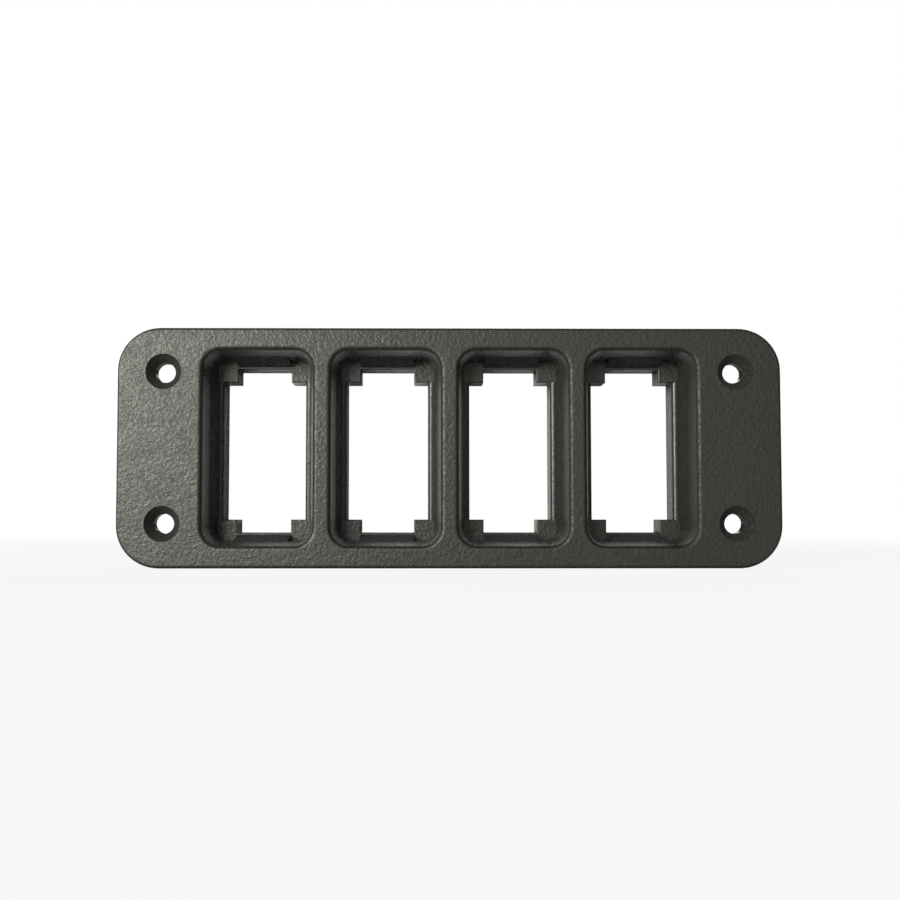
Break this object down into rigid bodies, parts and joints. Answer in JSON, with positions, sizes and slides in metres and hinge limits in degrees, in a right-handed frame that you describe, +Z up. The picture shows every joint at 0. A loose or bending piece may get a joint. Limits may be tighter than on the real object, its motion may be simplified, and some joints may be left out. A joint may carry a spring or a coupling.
{
  "type": "switch panel",
  "caption": "Moulded plate with a row of recessed rectangular openings for push switches and countersunk screw holes near its corners.",
  "frame": {"origin": "centre of the screw pattern on the back face of the plate", "axes": "+X along the panel, +Z up the panel, -Y out of its front face"},
  "size_m": [0.1556, 0.014, 0.0564],
  "materials": {
    "switch_panel": "fine-grained dark grey moulded plastic, smoother inside the pockets"
  },
  "bodies": {
    "root": {"switch_panel": "switch_panel"}
  },
  "joints": []
}
